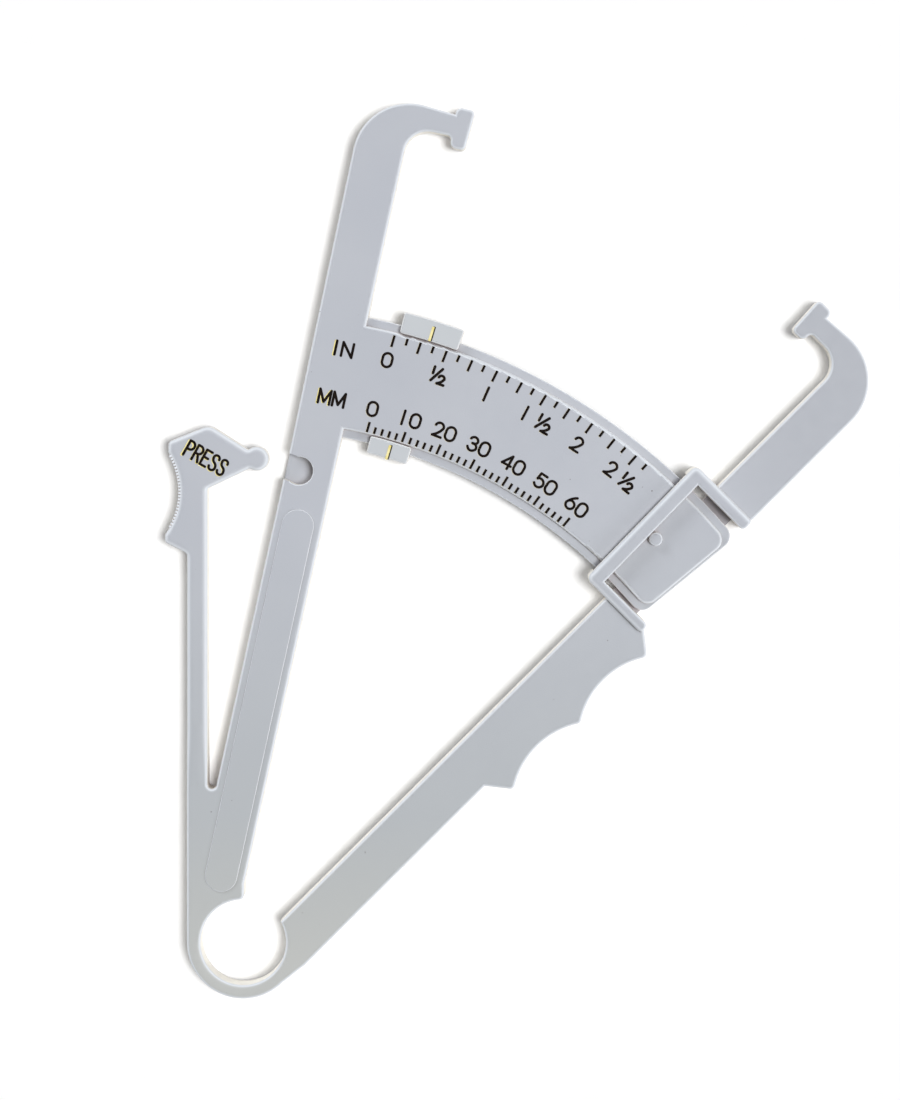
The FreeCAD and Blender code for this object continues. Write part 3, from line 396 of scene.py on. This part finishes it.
def characters(mesh):
    """The separate characters of a print, each as a set of vertices."""
    found = []
    waiting = set(mesh.verts)
    while waiting:
        character, fresh = set(), {waiting.pop()}
        while fresh:
            character |= fresh
            fresh = {edge.other_vert(vert) for vert in fresh for edge in vert.link_edges} - character
        waiting -= character
        found.append(character)
    return found


def fringed(name, finish, body, shift, left_end=-math.inf, right_end=math.inf, ending="_fringe"):
    """A lower copy of a print's characters between two ends in X, moved a little to one side."""
    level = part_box(name)[0].z
    mesh = bmesh.new()
    mesh.from_mesh(nodes[name].data)
    bmesh.ops.remove_doubles(mesh, verts=mesh.verts[:], dist=MERGE_REACH)
    for character in characters(mesh):
        middle = sum(vert.co.x for vert in character) / len(character)
        if not left_end < middle < right_end:
            bmesh.ops.delete(mesh, geom=list(character), context="VERTS")
    bmesh.ops.scale(mesh, vec=(1, 1, FRINGE_HEIGHT), space=Matrix.Translation((0, 0, -level)),
                    verts=mesh.verts[:])
    bmesh.ops.translate(mesh, vec=(*shift, 0), verts=mesh.verts[:])
    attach(finished(mesh, name + ending, finish), body)


foil_black = stamped("foil_black", FOIL_BLACK, FOIL_BROWN, BLACK_ROUGHNESS)
foil_gold = stamped("foil_gold", GOLD_DEEP, GOLD_PALE, GOLD_ROUGHNESS)
foil_cream = stamped("foil_cream", CREAM_DEEP, CREAM_PALE, CREAM_ROUGHNESS)
dress(foil_black, "inch_ticks", "inch_numerals", "millimetre_ticks", "millimetre_numerals",
      "inch_label", "millimetre_label", "press_word")
dress(foil_gold, "marker_index_lines")
fringed("inch_label", foil_gold, "scale_side", INCH_LABEL_SHIFT, right_end=INCH_FIRST_END)
fringed("millimetre_label", foil_gold, "scale_side", MILLIMETRE_LABEL_SHIFT,
        right_end=MILLIMETRE_FIRST_END)
fringed("press_word", foil_gold, "lever", PRESS_FIRST_SHIFT, right_end=PRESS_FIRST_END)
fringed("press_word", foil_gold, "lever", PRESS_SHIFT, left_end=PRESS_FIRST_END,
        ending="_fringe_after_first")
for name in ("inch_ticks", "inch_numerals", "millimetre_ticks", "millimetre_numerals"):
    fringed(name, foil_cream, "scale_side", SCALE_SHIFT)
fringed("marker_index_lines", foil_black, "marker", INDEX_SHIFT)


# ------------------------------------------------------------------ table, light and camera
# The caliper lies on its back on a white table. A broad lamp stands high above it to the right. Two
# low lamps graze the faces from the sides, so that rims and raised parts stand out, and leave out the
# table, which keeps the high lamp's shadow.
WHITE = (1, 1, 1, 1)
TABLE_WHITE = (0.985, 0.985, 0.985, 1)
TABLE_GRAIN_SCALE = 300
TABLE_SIZE = 1.6
TABLE_LIFT = 0.068
HIGH_WAY = Vector((0.34, -0.04, 1.0))
HIGH_POWER = 2.35
HIGH_ANGLE = math.radians(20)
HIGH_COLOUR = (1, 1, 1)
LEFT_WAY = Vector((-0.62, 0.68, 0.42))
LEFT_POWER = 1.7
RIGHT_WAY = Vector((0.80, -0.40, 0.42))
RIGHT_POWER = 1.0
LOW_ANGLE = math.radians(24)
LOW_COLOUR = (0.94, 0.97, 1.0)
ROOM_LIGHT = 0.24
CAMERA_SPOT = Vector((46.0, 98.0, 545.0)) * MM
CAMERA_LENS = 101.2
CAMERA_SHIFT = (-0.0513, -0.1532)
CAMERA_CLIP = (0.01, 10)

table_finish, tree, shader, spot = new_finish("white_table")
paper = spread(tree, grain(tree, spot, TABLE_GRAIN_SCALE), GRAIN_BAND)
join(tree, shader.inputs["Base Color"], mixed(tree, paper, TABLE_WHITE, WHITE))
shader.inputs["Roughness"].default_value = 1
shader.inputs["Specular IOR Level"].default_value = 0
shader.inputs["Emission Color"].default_value = WHITE
seen = add(tree, "ShaderNodeLightPath").outputs["Is Camera Ray"]
join(tree, shader.inputs["Emission Strength"], spread(tree, seen, (0, 1), (0, TABLE_LIFT)))
table_mesh = bmesh.new()
bmesh.ops.create_grid(table_mesh, x_segments=1, y_segments=1, size=TABLE_SIZE / 2)
table_data = bpy.data.meshes.new("table")
table_mesh.to_mesh(table_data)
table_mesh.free()
table_data.materials.append(table_finish)
table = bpy.data.objects.new("table", table_data)
bpy.context.scene.collection.objects.link(table)


def far_lamp(name, way, power, angle, colour):
    """A broad lamp so far off that it lights the whole table evenly."""
    lamp = bpy.data.lights.new(name, "SUN")
    lamp.energy = power
    lamp.angle = angle
    lamp.color = colour
    stand = bpy.data.objects.new(name, lamp)
    stand.rotation_euler = way.to_track_quat("Z", "Y").to_euler()
    bpy.context.scene.collection.objects.link(stand)
    return stand


far_lamp("high_lamp", HIGH_WAY, HIGH_POWER, HIGH_ANGLE, HIGH_COLOUR)
screened = bpy.data.collections.new("screened_from_low_lamps")
screened.objects.link(table)
for name, way, power in (("left_lamp", LEFT_WAY, LEFT_POWER), ("right_lamp", RIGHT_WAY, RIGHT_POWER)):
    low_lamp = far_lamp(name, way, power, LOW_ANGLE, LOW_COLOUR)
    low_lamp.light_linking.receiver_collection = screened
screened.collection_objects[0].light_linking.link_state = "EXCLUDE"

world = bpy.data.worlds.new("studio")
world.use_nodes = True
world.node_tree.nodes["Background"].inputs["Color"].default_value = WHITE
world.node_tree.nodes["Background"].inputs["Strength"].default_value = ROOM_LIGHT
bpy.context.scene.world = world

camera = bpy.data.cameras.new("camera")
camera.lens = CAMERA_LENS
camera.shift_x, camera.shift_y = CAMERA_SHIFT
camera.clip_start, camera.clip_end = CAMERA_CLIP
camera_stand = bpy.data.objects.new("camera", camera)
camera_stand.location = CAMERA_SPOT
bpy.context.scene.collection.objects.link(camera_stand)
bpy.context.scene.camera = camera_stand
bpy.context.scene.view_settings.view_transform = "Standard"
